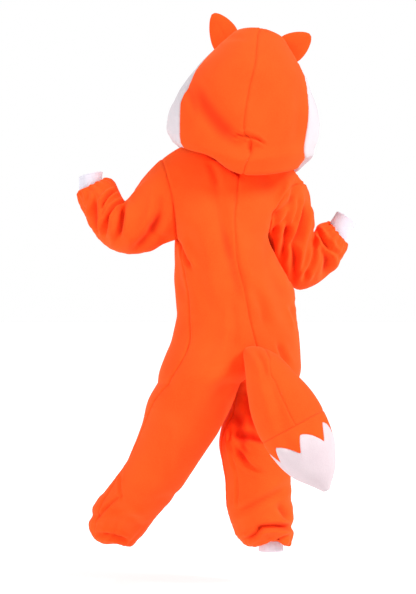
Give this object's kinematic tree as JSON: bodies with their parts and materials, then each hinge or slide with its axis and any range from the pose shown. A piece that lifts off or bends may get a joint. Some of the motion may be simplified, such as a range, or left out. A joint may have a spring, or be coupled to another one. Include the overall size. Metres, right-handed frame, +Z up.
{
  "type": "fox costume",
  "caption": "Child's one-piece orange fleece fox costume with a hood, pointed ears, white cheek panels, a stuffed tail and white rib cuffs, worn in a walking pose with the arms raised",
  "frame": {"origin": "the middle of the neck between the shoulders, where the wearer carries the costume", "axes": "+Z up, -Y the way the wearer faces, +X the wearer's left"},
  "size_m": [0.5867, 0.3843, 1.138],
  "materials": {
    "orange_fleece": "matt short-nap polyester fleece",
    "white_fleece": "matt short-nap polyester fleece",
    "white_rib_knit": "matt rib knit"
  },
  "bodies": {
    "root": {"back_left": "orange_fleece", "back_right": "orange_fleece", "front_left": "orange_fleece", "front_right": "orange_fleece", "front_placket": "orange_fleece", "sleeve_left": "orange_fleece", "sleeve_right": "orange_fleece", "cuff_left": "white_rib_knit", "cuff_right": "white_rib_knit", "ankle_cuff_left": "white_rib_knit", "ankle_cuff_right": "white_rib_knit", "hood_back_left": "orange_fleece", "hood_back_right": "orange_fleece", "hood_cheek_left": "white_fleece", "hood_cheek_right": "white_fleece", "ear_left_back": "orange_fleece", "ear_left_front": "orange_fleece", "ear_right_back": "orange_fleece", "ear_right_front": "orange_fleece", "tail_left": "orange_fleece", "tail_right": "orange_fleece", "tail_band": "orange_fleece", "tail_tip": "white_fleece"}
  },
  "joints": []
}
